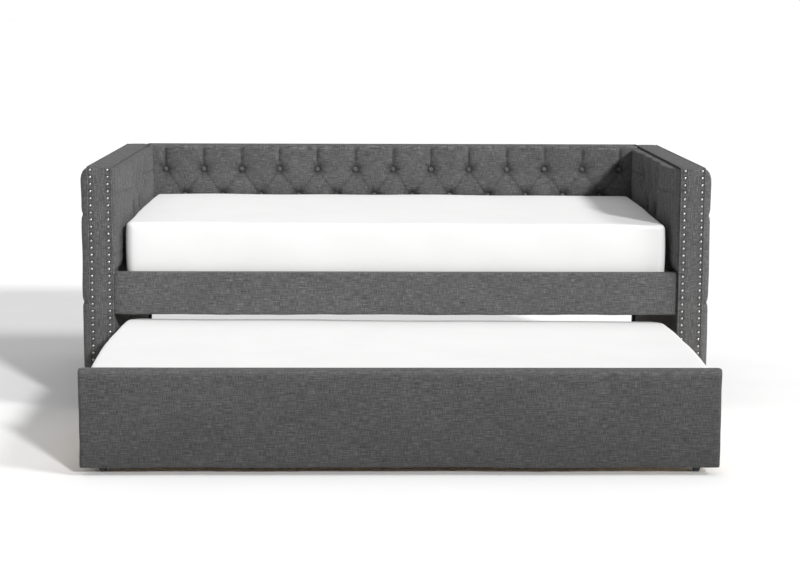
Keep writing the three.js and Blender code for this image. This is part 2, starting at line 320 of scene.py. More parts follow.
def copies(name, template, places):
    """Many copies of one small shape joined in one object. places holds (point, direction)."""
    shape, shape_faces = template
    points, faces, uvs = [], [], []
    for k, (place, direction) in enumerate(places):
        points.append(shape @ turned_to(direction).T + np.array(place))
        faces += [[v + k * len(shape) for v in face] for face in shape_faces]
        for face in shape_faces:
            uvs += [shape[v][:2] + 0.37 * k for v in face]
    return add_object(name, np.concatenate(points), faces, uvs)


def tube(name, points, radius, side, segments=10):
    """A round cord along a line of points that lies in the plane square to the vector side."""
    along = np.gradient(points, axis=0)
    along /= np.linalg.norm(along, axis=1)[:, None]
    side = np.array(side, float)
    up = np.cross(along, side)
    angles = np.linspace(0, 2 * math.pi, segments, endpoint=False)
    rings = points[:, None] + radius * (
        np.cos(angles)[None, :, None] * up[:, None] + np.sin(angles)[None, :, None] * side
    )
    return loft(name, rings, lengths(points))


def set_shade(piece, values):
    """Stores painted shade, how much darker the cloth is painted at each point, as the mesh attribute that
    linen and ticking read.
    """
    shade = piece.data.attributes.new("shade", "FLOAT", "POINT")
    shade.data.foreach_set("value", np.clip(np.asarray(values, float).ravel(), 0, 1))


# ---- materials ----


class Graph:
    """A node material under construction, with short names for the nodes used here."""

    def __init__(self, name, roughness, metallic=0.0, sheen=0.0):
        self.material = bpy.data.materials.new(name)
        self.material.use_nodes = True
        self.tree = self.material.node_tree
        self.shader = self.tree.nodes["Principled BSDF"]
        self.shader.inputs["Roughness"].default_value = roughness
        self.shader.inputs["Metallic"].default_value = metallic
        self.shader.inputs["Sheen Weight"].default_value = sheen
        self.shader.inputs["Sheen Roughness"].default_value = 0.45

    def add(self, kind, **settings):
        node = self.tree.nodes.new("ShaderNode" + kind)
        for key, value in settings.items():
            setattr(node, key, value)
        return node

    def link(self, source, target):
        self.tree.links.new(source, target)

    def cloth(self):
        return self.add("UVMap", uv_map="cloth").outputs["UV"]

    def place(self):
        return self.add("TexCoord").outputs["Object"]

    def noise(self, vector, scale, detail=2.0, roughness=0.5, distortion=0.0):
        """Noise whose size along each axis is set by scale, in features per metre."""
        mapping = self.add("Mapping")
        mapping.inputs["Scale"].default_value = scale
        self.link(vector, mapping.inputs["Vector"])
        texture = self.add("TexNoise")
        texture.inputs["Scale"].default_value = 1.0
        texture.inputs["Detail"].default_value = detail
        texture.inputs["Roughness"].default_value = roughness
        texture.inputs["Distortion"].default_value = distortion
        self.link(mapping.outputs["Vector"], texture.inputs["Vector"])
        return texture.outputs["Fac"]

    def wave(self, vector, scale, axis):
        """Even bands across an axis of the vector, scale of them per metre."""
        texture = self.add("TexWave", bands_direction=axis, wave_profile="SIN")
        texture.inputs["Scale"].default_value = scale * 2 * math.pi / 20
        self.link(vector, texture.inputs["Vector"])
        return texture.outputs["Fac"]

    def math(self, operation, a, b=0.0):
        node = self.add("Math", operation=operation)
        for socket, value in zip(node.inputs, (a, b)):
            if isinstance(value, (int, float)):
                socket.default_value = value
            else:
                self.link(value, socket)
        return node.outputs[0]

    def blend(self, parts):
        """The weighted sum of (output, weight) pairs."""
        total = 0.0
        for output, weight in parts:
            total = self.math("ADD", self.math("MULTIPLY", output, weight), total)
        return total

    def ramp(self, value, stops):
        """A colour for each value, from (position, grey or colour) stops."""
        node = self.add("ValToRGB")
        while len(node.color_ramp.elements) < len(stops):
            node.color_ramp.elements.new(0.5)
        for element, (position, colour) in zip(node.color_ramp.elements, stops):
            element.position = position
            element.color = (*((colour,) * 3 if isinstance(colour, float) else colour), 1)
        self.link(value, node.inputs["Fac"])
        return node.outputs["Color"]

    def shaded(self, colour):
        """A colour darkened by the mesh's shade attribute, which holds painted shade."""
        darkened = self.add("Mix", data_type="RGBA")
        factor, _, _, _, _, _, plain, dark = darkened.inputs[:8]
        self.link(self.add("Attribute", attribute_name="shade").outputs["Fac"], factor)
        self.link(colour, plain)
        dark.default_value = (0, 0, 0, 1)
        return darkened.outputs[2]

    def paint(self, colour):
        self.link(colour, self.shader.inputs["Base Color"])

    def rough(self, value, low, high):
        span = self.add("MapRange")
        span.inputs["To Min"].default_value = low
        span.inputs["To Max"].default_value = high
        self.link(value, span.inputs["Value"])
        self.link(span.outputs["Result"], self.shader.inputs["Roughness"])

    def emboss(self, height, distance, strength=1.0):
        node = self.add("Bump")
        node.inputs["Distance"].default_value = distance
        node.inputs["Strength"].default_value = strength
        self.link(height, node.inputs["Height"])
        self.link(node.outputs["Normal"], self.shader.inputs["Normal"])


def linen():
    """Charcoal linen: slubby warp and weft threads of mixed greys, darker where the painted shade attribute
    says so.
    """
    g = Graph("charcoal_linen", 0.93, sheen=0.06)
    cloth = g.cloth()
    weft = g.noise(cloth, (32, THREADS, 1), 1.0)
    warp = g.noise(cloth, (THREADS, 48, 1), 1.0)
    threads = [
        (weft, 0.34),
        (warp, 0.28),
        (g.noise(cloth, (14, 380, 1), 1.0), 0.14),
        (g.noise(cloth, (380, 20, 1), 1.0), 0.1),
    ]
    clouds = g.noise(cloth, (4, 7, 1), 2.0)
    tone = g.blend([*threads, (clouds, 0.06)])
    greys = g.ramp(tone, [(0.34, 0.024), (0.46, 0.067), (0.59, 0.15)])
    g.paint(g.shaded(greys))
    over, under = g.wave(cloth, THREADS, "X"), g.wave(cloth, THREADS, "Y")
    g.emboss(g.blend([(over, 0.5), (under, 0.5), (weft, 0.8), (warp, 0.8)]), 0.0006, 0.6)
    return g.material


def ticking():
    """The mattresses' smooth white knitted cover."""
    g = Graph("white_ticking", 0.85, sheen=0.2)
    cloth = g.cloth()
    knit = g.blend([(g.wave(cloth, 450, "X"), 0.5), (g.wave(cloth, 450, "Y"), 0.5)])
    soft = g.noise(cloth, (5, 5, 1), 3.0)
    # the shade attribute paints shade on the mattresses' upright sides
    g.paint(g.shaded(g.ramp(soft, [(0.3, (0.775, 0.775, 0.772)), (0.7, (0.8, 0.8, 0.797))])))
    g.emboss(g.blend([(knit, 0.3), (g.noise(cloth, (260, 60, 1), 2.0), 0.7)]), 0.0003, 0.5)
    return g.material


def timber(name, axis, dark, light, seed):
    """Wood with its grain along one axis: 0, 1 or 2."""
    g = Graph(name, 0.6)
    stretch = [38.0, 38.0, 38.0]
    stretch[axis] = 1.6
    fine = [300.0, 300.0, 300.0]
    fine[axis] = 9.0
    shifted = g.add("Mapping")
    shifted.inputs["Location"].default_value = (seed * 1.7, seed * 2.3, seed * 3.1)
    g.link(g.place(), shifted.inputs["Vector"])
    where = shifted.outputs["Vector"]
    rings = g.noise(where, stretch, 3.0, 0.6, 1.4)
    fibres = g.noise(where, fine, 2.0, 0.6)
    tone = g.blend([(rings, 0.7), (fibres, 0.3)])
    middle = tuple((a + b) / 2 for a, b in zip(dark, light))
    g.paint(g.ramp(tone, [(0.34, dark), (0.5, middle), (0.66, light)]))
    g.rough(fibres, 0.5, 0.75)
    g.emboss(tone, 0.0008, 0.35)
    return g.material


def webbing():
    """Woven tape that holds the trundle's slats in line."""
    g = Graph("webbing", 0.9, sheen=0.2)
    cloth = g.cloth()
    rib = g.blend([(g.wave(cloth, 330, "X"), 0.6), (g.wave(cloth, 500, "Y"), 0.4)])
    g.paint(g.ramp(g.noise(cloth, (90, 400, 1), 2.0), [(0.3, (0.6, 0.57, 0.5)), (0.7, (0.76, 0.73, 0.66))]))
    g.emboss(rib, 0.0006, 0.8)
    return g.material


def moulded_plastic():
    """Black moulded plastic, dusty and scuffed in patches."""
    g = Graph("black_plastic", 0.5)
    place = g.place()
    dust = g.noise(place, (60, 60, 60), 4.0, 0.6)
    g.paint(g.ramp(dust, [(0.35, 0.012), (0.75, 0.05)]))
    g.rough(dust, 0.38, 0.62)
    g.emboss(g.noise(place, (900, 900, 900), 1.0), 0.0002, 0.4)
    return g.material


def coated_steel():
    """Black powder coat with its fine orange-peel skin."""
    g = Graph("black_steel", 0.42)
    place = g.place()
    wear = g.noise(place, (45, 45, 45), 4.0, 0.65)
    g.paint(g.ramp(wear, [(0.4, 0.018), (0.78, 0.06)]))
    g.rough(wear, 0.34, 0.5)
    g.emboss(g.noise(place, (1300, 1300, 1300), 1.0), 0.0002, 0.5)
    return g.material


def plated_metal(name, dark, light, low, high):
    """Bright plated metal with a little tarnish."""
    g = Graph(name, low, metallic=1.0)
    tarnish = g.noise(g.place(), (170, 170, 170), 3.0, 0.6)
    g.paint(g.ramp(tarnish, [(0.35, dark), (0.7, light)]))
    g.rough(tarnish, low, high)
    return g.material


LINEN = linen()
TICKING = ticking()
WEBBING = webbing()
BLACK_PLASTIC = moulded_plastic()
BLACK_STEEL = coated_steel()
ZINC = plated_metal("zinc_steel", 0.42, 0.62, 0.28, 0.42)
NICKEL = plated_metal("nickel_nail", 0.3, 0.46, 0.25, 0.38)


def finish_piece(piece, material, body, replaces=()):
    """Gives a piece its material, its body and the CAD nodes it stands for."""
    piece.data.materials.clear()
    piece.data.materials.append(material)
    if replaces:
        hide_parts(*replaces)
    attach(piece, body)
    return piece


def upholster(piece, body, replaces=()):
    """Linen on a piece of a body."""
    finish_piece(piece, LINEN, body, replaces)


# ---- button tufting ----


class Tufting:
    """Three rows of diamond-set buttons on a face, in the face's own coordinates: s across, t up.

    top is the height of the top row, rise the drop from row to row, and columns the buttons in the
    first and third rows. pit is how far a button sinks, hollow the depth of the wide dip round it
    and hollow_radius its size. crease is how deep the folds between buttons are.
    """

    def __init__(self, middle, top, pitch, rise, columns, pit, hollow, hollow_radius, crease):
        self.rows = []
        for row in range(3):
            count = columns - row % 2
            starts = middle + (np.arange(count) - (count - 1) / 2) * pitch
            self.rows.append([(s, top - row * rise) for s in starts])
        self.pit = pit
        self.hollow = hollow
        self.hollow_radius = hollow_radius
        self.crease = crease
        self.folds = []
        for upper, lower in zip(self.rows, self.rows[1:]):
            for a in upper:
                self.folds += [(a, b) for b in lower if abs(a[0] - b[0]) < 0.6 * pitch]
        self.pleats = []

    def buttons(self):
        return [button for row in self.rows for button in row]

    def pleat(self, button, end, depth, width):
        """Adds a fold from a button to the face's edge, where it has this depth and half-width."""
        self.pleats.append((button, end, depth, width))

    def depth(self, s, t):
        """How far the buttons pull the cloth down, over a grid of s and t."""
        depth = np.zeros(s.shape)
        for a, b in self.folds:
            away, along, length = from_line(s, t, a, b)
            reach = np.exp(-along / FOLD_FADE) + np.exp(-(length - along) / FOLD_FADE) + FOLD_LEAST
            depth = np.maximum(depth, self.crease * reach * np.exp(-away / FOLD_WIDTH))
        for button, end, edge_depth, edge_width in self.pleats:
            away, along, length = from_line(s, t, button, end)
            share = along / length
            width = FOLD_WIDTH + (edge_width - FOLD_WIDTH) * share**1.4
            valley = self.crease + (edge_depth - self.crease) * share
            depth = np.maximum(depth, valley * np.exp(-((away / width) ** 1.1)))
        for k, (bs, bt) in enumerate(self.buttons()):
            away = np.hypot(s - bs, t - bt)
            near = away < PULL_REACH
            angle = np.arctan2(t[near] - bt, s[near] - bs)
            pit = self.pit * np.exp(-((away[near] / PIT_RADIUS) ** 1.35))
            hollow = self.hollow * bump(away[near], self.hollow_radius)
            puckers = np.cos(PUCKERS * angle + k) * bump(away[near] - PUCKER_RING, PUCKER_LENGTH)
            depth[near] += np.maximum(pit - 0.5 * depth[near], 0) + hollow + PUCKER_DEPTH * puckers
        return depth

    def shade(self, s, t):
        """Painted shade, how much darker the cloth is painted: most in the pits, less along the folds."""
        shade = np.zeros(s.shape)
        for a, b in self.folds:
            away, along, length = from_line(s, t, a, b)
            near_ends = np.exp(-along / FOLD_SHADE_FADE) + np.exp(-(length - along) / FOLD_SHADE_FADE)
            reach = np.minimum(near_ends + FOLD_SHADE_LEAST, 1)
            shade = np.maximum(shade, FOLD_SHADE * reach * bump(away, FOLD_SHADE_WIDTH))
        for button, end, _, _ in self.pleats:
            away, _, _ = from_line(s, t, button, end)
            shade = np.maximum(shade, PLEAT_SHADE * bump(away, FOLD_WIDTH))
        for k, (bs, bt) in enumerate(self.buttons()):
            away = np.hypot(s - bs, t - bt)
            angle = np.arctan2(t - bt, s - bs)
            spread = PIT_SHADE_RADIUS * (1 + 0.12 * np.cos(5 * angle + 2 * k))
            shade = np.maximum(shade, PIT_SHADE * np.exp(-((away / spread) ** 2.2)))
        return shade


def from_line(s, t, a, b):
    """Distance from the line a to b, distance along it, and its length."""
    run_s, run_t = b[0] - a[0], b[1] - a[1]
    length = math.hypot(run_s, run_t)
    along = np.clip(((s - a[0]) * run_s + (t - a[1]) * run_t) / length, 0, length)
    away = np.hypot(s - a[0] - run_s * along / length, t - a[1] - run_t * along / length)
    return away, along, length


def covered_buttons(name, body, places):
    """Domed buttons covered in the same linen, pulled down into the padding."""
    r, h = BUTTON_RADIUS, BUTTON_HEIGHT
    profile = [(0.8 * r, -0.5 * h), (0.97 * r, -0.15 * h), (r, 0.15 * h), (0.93 * r, 0.5 * h)]
    profile += [(0.74 * r, 0.8 * h), (0.45 * r, 0.96 * h), (0.12 * r, h)]
    upholster(copies(name, lathe(profile, 20), places), body)


# ---- the back ----


def build_back():
    low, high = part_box("back_tufted_pad")
    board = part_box("back_board")
    tufts = Tufting(
        middle=(low.x + high.x) / 2,
        top=BACK_TOP_ROW,
        pitch=BACK_BUTTON_PITCH,
        rise=BACK_ROW_RISE,
        columns=13,
        pit=0.02,
        hollow=0.006,
        hollow_radius=0.045,
        crease=0.0075,
    )
    top_cover = 0.05  # how far the pleats run over the top edge
    for button in tufts.rows[0]:
        tufts.pleat(button, (button[0], high.z + top_cover), depth=0.02, width=0.02)
    for button in tufts.rows[-1]:
        tufts.pleat(button, (button[0], low.z), depth=0.004, width=0.008)

    bottom_roll = 0.016
    clear_of_board = 0.001
    rear_y = board[0].y - clear_of_board
    under_top = board[1].z + 0.5 * clear_of_board
    front = fillet(
        [(rear_y, low.z), (low.y, low.z), (low.y, high.z), (high.y, high.z)],
        [0, bottom_roll, BACK_ROLL, 0],
        [0.01, TUFT_STEP, 0.006],
        9,
    )
    run = lengths(front)
    level = run - run[np.argmin(np.abs(front[:, 1] - BACK_TOP_ROW))] + BACK_TOP_ROW
    out = left_normals(front)
    behind = np.array([(high.y, under_top), (rear_y, under_top)])

    end_roll = 0.02
    across = spaced(low.x, high.x, TUFT_STEP, end_roll)
    s, t = np.meshgrid(across, level, indexing="ij")
    height = BACK_CROWN - tufts.depth(s, t)
    height += 0.0012 * ripple(s, t, seed=3, wavelength=0.23)
    height *= rounded(level - level[0], 0.03)[None, :]
    flat_top = np.clip((front[:, 0] - low.y - BACK_ROLL) / top_cover, 0, 1)
    height *= (1 - 0.75 * flat_top)[None, :]
    ends = np.minimum(s - low.x, high.x - s)
    height -= 0.012 * (1 - rounded(ends, end_roll))

    # painted shade in the pits, folds and pleats, fading out over the flat top
    shade = np.zeros((len(across), len(front) + len(behind)))
    shade[:, : len(front)] = tufts.shade(s, t) * (1 - flat_top)[None, :]
    rings = np.zeros((*shade.shape, 3))
    rings[..., 0] = across[:, None]
    rings[:, : len(front), 1] = front[:, 0] + out[:, 0] * height
    rings[:, : len(front), 2] = front[:, 1] + out[:, 1] * height
    rings[:, len(front) :, 1:] = behind
    pad = loft("back_tufted_cushion", rings, across)
    set_shade(pad, shade)
    upholster(pad, "daybed_frame", ["back_tufted_pad"])

    proud = 0.006  # how far the buttons stand off the bottoms of their pits
    sunk = low.y - BACK_CROWN + tufts.pit + tufts.hollow - proud
    places = [((x, sunk, z), (0, -1, 0)) for x, z in tufts.buttons()]
    covered_buttons("back_buttons", "daybed_frame", places)


def build_rear_cover():
    """The plain outside of the back: linen over board, seamed in three, rolled at its edges."""
    low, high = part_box("back_rear_cover")
    roll = 0.0065
    inside = low.y + 0.0004
    seams = np.array([-1, 1]) * (high.x - low.x) / 6
    seam_reach = 0.01
    profile = fillet(
        [(inside, low.z), (high.y, low.z), (high.y, high.z), (inside, high.z)],
        [0, roll, roll, 0],
        [0.004, PLAIN_STEP, 0.004],
    )
    across = np.unique(np.concatenate([
        spaced(low.x, high.x, 0.02, 0.01),
        *[np.linspace(x - seam_reach, x + seam_reach, 13) for x in seams],
    ]))
    x, z = np.meshgrid(across, profile[:, 1], indexing="ij")
    seam = sum(bump(x - s, 0.0028) for s in seams)
    sink = 0.0016 * seam + 0.0006 * (1 + ripple(x, z, seed=8, wavelength=0.4))
    sink += 0.003 * (1 - rounded(np.minimum(x - low.x, high.x - x), 0.008))
    outside = profile[:, 0] > low.y + 0.002
    rings = np.zeros((*x.shape, 3))
    rings[..., 0] = x
    rings[..., 1] = np.maximum(low.y + 0.0002, profile[:, 0] - sink * outside)
    rings[..., 2] = z
    upholster(loft("back_outside_cover", rings, across), "daybed_frame", ["back_rear_cover"])
    line = np.array([(low.x, low.y, high.z), (high.x, low.y, high.z)])
    points = line[0] + (line[1] - line[0]) * np.linspace(0, 1, 60)[:, None]
    upholster(tube("back_top_piping", points, PIPING_RADIUS, (0, 0, 1)), "daybed_frame")


# ---- the arms ----


def on_face(buttons, y, z, points, outward, lift):
    """Places for buttons on an arm's face, lifted off the cloth. outward is the face's way along x."""
    places = []
    for s, t in buttons:
        x = points[np.abs(y - s).argmin(), np.abs(z - t).argmin(), 0]
        places.append(((x + outward * lift, s, t), (outward, 0, 0)))
    return places


def arm_inner_face(word, side):
    """The tufted inner face: plump above the seat, flat where the trundle passes."""
    node = f"{word}_arm_inner_pad"
    low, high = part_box(node)
    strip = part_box(f"{word}_arm_border")
    outer_x = max(abs(low.x), abs(high.x))
    plain_x = min(abs(strip[0].x), abs(strip[1].x))
    crest_x = min(abs(low.x), abs(high.x)) - 0.011
    tufts = Tufting(
        middle=(strip[0].y + strip[1].y) / 2,
        top=BACK_TOP_ROW,
        pitch=ARM_BUTTON_PITCH,
        rise=BACK_ROW_RISE,
        columns=3,
        pit=0.012,
        hollow=0.021,
        hollow_radius=0.068,
        crease=0.008,
    )
    for row in (tufts.rows[0], tufts.rows[2]):
        tufts.pleat(row[0], (low.y, row[0][1]), depth=0.0012, width=0.006)
        tufts.pleat(row[-1], (high.y, row[-1][1]), depth=0.002, width=0.008)
    for button in tufts.rows[0]:
        tufts.pleat(button, (button[0], high.z), depth=0.006, width=0.016)
    for button in tufts.rows[2]:
        tufts.pleat(button, (button[0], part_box("upper_mattress")[0].z), depth=0.004, width=0.01)

    rail_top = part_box("front_rail_cover")[1].z
    tuck = 0.004  # how far the pad runs on under the strip
    y = spaced(low.y, high.y + tuck, TUFT_STEP, 0.02)
    z = np.concatenate([
        spaced(low.z, rail_top, SMOOTH_STEP, 0.012)[:-1],
        spaced(rail_top, high.z + tuck, TUFT_STEP, 0.012),
    ])
    s, t = np.meshgrid(y, z, indexing="ij")
    from_front = s - low.y
    above = rounded(t - rail_top, 0.055)
    slope = np.sin(np.clip(from_front / 0.27, 0, 1) * math.pi / 2)
    in_front = 0.25 * rounded(from_front, 0.03) + 0.75 * slope
    at_rear = rounded(high.y + tuck - s, 0.05)
    below_top = rounded(high.z + tuck - t, 0.009)
    swell = (plain_x - crest_x) * above * in_front * at_rear * below_top
    # the plumpest place, in front of the buttons and above the mattress
    swell += 0.011 * bump(from_front - 0.24, 0.085) * bump(t - BACK_TOP_ROW, 0.055)
    swell -= tufts.depth(s, t) * above * np.minimum(at_rear, below_top)
    swell += 0.001 * ripple(s, t, 11 + side, wavelength=0.26) * above
    # upright wrinkles about 34 mm apart
    wrinkles = np.sin(2 * math.pi * s / 0.034 + 2.5 * ripple(s, t, 13 + side, wavelength=0.3))
    swell += 0.0007 * wrinkles * above * below_top
    edge = np.minimum(np.minimum(s - y[0], y[-1] - s), np.minimum(t - z[0], z[-1] - t))
    tucked = rounded(edge, 0.003)
    body = (outer_x - plain_x) * tucked
    points = np.stack([side * (outer_x - body - swell * tucked), s, t], axis=-1)
    pad = face_pad(f"{word}_arm_inner_cushion", y, z, points)
    # painted shade in the tufts' pits and folds, only above the seat
    set_shade(pad, 0.7 * tufts.shade(s, t) * above)
    upholster(pad, "daybed_frame", [node])

    places = on_face(tufts.buttons(), y, z, points, -side, lift=0.005)
    covered_buttons(f"{word}_arm_inner_buttons", "daybed_frame", places)


def arm_outer_face(word, side):
    """The tufted outer face, rolled over at its top and upright edges."""
    node = f"{word}_arm_outer_pad"
    low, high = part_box(node)
    inner_x = min(abs(low.x), abs(high.x))
    depth = abs(high.x - low.x)
    tufts = Tufting(
        middle=(low.y + high.y) / 2,
        top=OUTSIDE_TOP_ROW,
        pitch=ARM_BUTTON_PITCH,
        rise=OUTSIDE_ROW_RISE,
        columns=3,
        pit=0.012,
        hollow=0.004,
        hollow_radius=0.05,
        crease=0.005,
    )
    for row in (tufts.rows[0], tufts.rows[2]):
        for button, end in ((row[0], low.y), (row[-1], high.y)):
            tufts.pleat(button, (end, button[1]), depth=0.006, width=0.009)
    for button in tufts.rows[0]:
        tufts.pleat(button, (button[0], high.z), depth=0.003, width=0.01)
    top_roll, side_roll, bottom_roll = 0.048, 0.03, 0.012
    below_strip = 0.004
    y = spaced(low.y, high.y, OUTSIDE_STEP, side_roll)
    z = spaced(low.z, high.z - below_strip, OUTSIDE_STEP, top_roll)
    s, t = np.meshgrid(y, z, indexing="ij")
    roll = rounded(np.minimum(s - low.y, high.y - s), side_roll)
    roll = roll * rounded(z[-1] - t, top_roll) * rounded(t - low.z, bottom_roll)
    swell = depth - tufts.depth(s, t) + 0.001 * ripple(s, t, 21 + side, wavelength=0.3)
    points = np.stack([side * (inner_x + roll * swell), s, t], axis=-1)
    pad = face_pad(f"{word}_arm_outer_cushion", y, z, points)
    # painted shade in the tufts' pits and folds
    set_shade(pad, tufts.shade(s, t))
    upholster(pad, "daybed_frame", [node])

    places = on_face(tufts.buttons(), y, z, points, side, lift=0.003)
    covered_buttons(f"{word}_arm_outer_buttons", "daybed_frame", places)


def nail_places(word, side):
    """Where the decorative nails go on the front of an arm: two upright rows."""
    low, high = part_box(f"{word}_arm_border")
    inner, outer = sorted((abs(low.x), abs(high.x)))
    rows = [inner + NAIL_FROM_INSIDE, outer - NAIL_FROM_OUTSIDE]
    count = int((high.z - low.z - 2 * NAIL_TOP_GAP) / NAIL_PITCH) + 1
    heights = high.z - NAIL_TOP_GAP - NAIL_PITCH * np.arange(count)
    return [(side * x, z) for x in rows for z in heights]


def arm_strip(word, side):
    """The strip of cloth up the front, over the top and down the rear, with piping on both edges."""
    node = f"{word}_arm_border"
    low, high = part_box(node)
    inner, outer = sorted((abs(low.x), abs(high.x)))
    corner = 0.011
    skin = 0.0078
    edge_roll = 0.006
    path = fillet(
        [(low.y, low.z), (low.y, high.z), (high.y, high.z), (high.y, low.z)],
        [0, corner, corner, 0],
        [TRIM_STEP, 0.01, 0.01],
        8,
    )
    run = lengths(path)
    out = left_normals(path)
    across = spaced(inner, outer, TRIM_STEP, edge_roll, 4)
    w, t = np.meshgrid(across, path[:, 1], indexing="xy")
    r = np.meshgrid(across, run, indexing="xy")[1]
    from_edge = np.minimum(w - inner, outer - w)
    height = 0.0018 * rounded(from_edge, 0.03) - 0.0035 * (1 - rounded(from_edge, edge_roll))
    height += 0.0006 * ripple(w, r, 31 + side, wavelength=0.12)
    # painted shadow along the outer seam's groove
    outer_seam_shadow = 0.55 * bump(outer - w, 0.0045)
    shade = outer_seam_shadow
    on_front = path[:, 0][:, None] < low.y + 0.001
    for x, z in nail_places(word, side):
        away = np.hypot(w - abs(x), t - z)
        height -= NAIL_DENT * bump(away, 1.5 * NAIL_RADIUS) * on_front
        # painted shadow round the nail's dent
        shade = np.maximum(shade, 0.5 * bump(away, 1.7 * NAIL_RADIUS) * on_front)
    rings = np.zeros((len(path), len(across) + 2, 3))
    rings[:, :-2, 0] = side * w
    rings[:, :-2, 1] = path[:, 0][:, None] + out[:, :1] * height
    rings[:, :-2, 2] = path[:, 1][:, None] + out[:, 1:] * height
    for slot, x in ((-2, outer), (-1, inner)):
        rings[:, slot, 0] = side * x
        rings[:, slot, 1:] = path - out * skin
    strip = loft(f"{word}_arm_strip", rings, run)
    set_shade(strip, np.pad(shade, ((0, 0), (0, 2))))
    upholster(strip, "daybed_frame", [node])

    for edge, x, sunk in (("inner", inner, 0.0008), ("outer", outer, 0.0014)):
        line = np.zeros((len(path), 3))
        line[:, 0] = side * x
        line[:, 1:] = path - out * sunk
        cord = tube(f"{word}_arm_{edge}_piping", line[::2], PIPING_RADIUS, (1, 0, 0))
        upholster(cord, "daybed_frame")

    h, n = NAIL_HEIGHT, NAIL_RADIUS
    profile = [(0.9 * n, -0.6 * h), (n, -0.25 * h), (n, 0.02 * h), (0.93 * n, 0.3 * h)]
    profile += [(0.78 * n, 0.6 * h), (0.52 * n, 0.86 * h), (0.2 * n, 0.98 * h), (0.03 * n, h)]
    places = [((x, low.y + 0.0004, z), (0, -1, 0)) for x, z in nail_places(word, side)]
    nails = copies(f"{word}_arm_nails", lathe(profile, 16), places)
    finish_piece(nails, NICKEL, "daybed_frame")


# ---- front rail and trundle panel ----


def front_rail():
    """The rail's cover: linen over wadding on three sides of the board, open at the rear."""
    low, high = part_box("front_rail_cover")
    low.z -= RAIL_DROP
    high.z -= 0.5 * RAIL_DROP
    roll = 0.009
    skin = 0.0046
    end_roll = 0.008
    outside = fillet(
        [(high.y, low.z), (low.y, low.z), (low.y, high.z), (high.y, high.z)],
        [0, roll, roll, 0],
        [0.008, PLAIN_STEP / 2, 0.008],
    )
    inside = np.array([
        (high.y, high.z - skin),
        (low.y + skin, high.z - skin),
        (low.y + skin, low.z + skin),
        (high.y, low.z + skin),
    ])
    across = spaced(low.x, high.x, PLAIN_STEP, end_roll, 5)
    run = lengths(outside)
    out = left_normals(outside)
    x, r = np.meshgrid(across, run, indexing="ij")
    face = rounded(np.minimum(r, run[-1] - r), 0.04)
    broad = 0.0007 * ripple(x, r, seed=41, wavelength=0.35)
    fine = 0.0004 * ripple(x, r, seed=42, wavelength=0.06)
    height = face * (broad + fine) - 0.0008
    height -= 0.0035 * (1 - rounded(np.minimum(x - low.x, high.x - x), end_roll))
    rings = np.zeros((len(across), len(outside) + len(inside), 3))
    rings[..., 0] = across[:, None]
    rings[:, : len(outside), 1] = outside[:, 0] + out[:, 0] * height
    rings[:, : len(outside), 2] = outside[:, 1] + out[:, 1] * height
    rings[:, len(outside) :, 1:] = inside
    upholster(loft("front_rail_upholstery", rings, across), "daybed_frame", ["front_rail_cover"])


def move_points(piece, shift):
    """Moves a mesh's points by what shift returns for its points and normals."""
    mesh = piece.data
    count = len(mesh.vertices)
    points = np.zeros(count * 3)
    normals = np.zeros(count * 3)
    mesh.vertices.foreach_get("co", points)
    mesh.vertices.foreach_get("normal", normals)
    points = points.reshape(-1, 3)
    points = points + shift(points, normals.reshape(-1, 3))
    mesh.vertices.foreach_set("co", points.ravel())
    mesh.update()


def trundle_panel():
    """The trundle's front: linen over wadding round a board, open at the rear. The cloth is painted darker
    below its top edge, and darkest at the floor: painted shade, not a darker cloth."""
    low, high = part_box("trundle_panel_cover")
    roll = 0.0125
    cover = soft_box("trundle_panel_upholstery", low, high, roll, roll, PLAIN_STEP, (1, 1))

    def settle(points, normals):
        x, y, z = points.T
        broad = 0.0009 * ripple(x, z, seed=51, wavelength=0.45)
        fine = 0.0004 * ripple(x, z, seed=52, wavelength=0.07)
        ahead_of_rear = rounded(high.y - y, 0.02)
        shift = normals * ((broad + fine) * ahead_of_rear)[:, None]
        # pull the four corners, seen from the front, most of the way back to square
        past_side = np.clip(np.maximum(x - high.x, low.x - x) + roll, 0, None)
        past_end = np.clip(np.maximum(z - high.z, low.z - z) + roll, 0, None)
        longer = np.maximum(np.maximum(past_side, past_end), 1e-9)
        squarer = 0.75 * (np.hypot(past_side, past_end) / longer - 1)
        shift[:, 0] += np.sign(x) * past_side * squarer
        shift[:, 2] += np.sign(z - (low.z + high.z) / 2) * past_end * squarer
        return shift

    move_points(cover, settle)
    shell = cover.modifiers.new("thickness", "SOLIDIFY")
    shell.thickness = 0.0035
    shell.offset = -1
    apply_modifiers(cover)
    # painted shade: the cloth below the top edge is painted darker, most at the floor
    below = high.z - np.array([vertex.co.z for vertex in cover.data.vertices])
    past_top_edge = np.clip((below - 0.007) / 0.01, 0, 1)
    set_shade(cover, (0.3 + 0.24 * below / (high.z - low.z)) * past_top_edge)
    upholster(cover, "trundle", ["trundle_panel_cover"])


def apply_modifiers(piece):
    """Bakes a piece's modifiers into its mesh."""
    graph = bpy.context.evaluated_depsgraph_get()
    made = bpy.data.meshes.new_from_object(piece.evaluated_get(graph))
    piece.modifiers.clear()
    piece.data = made


# ---- mattresses ----


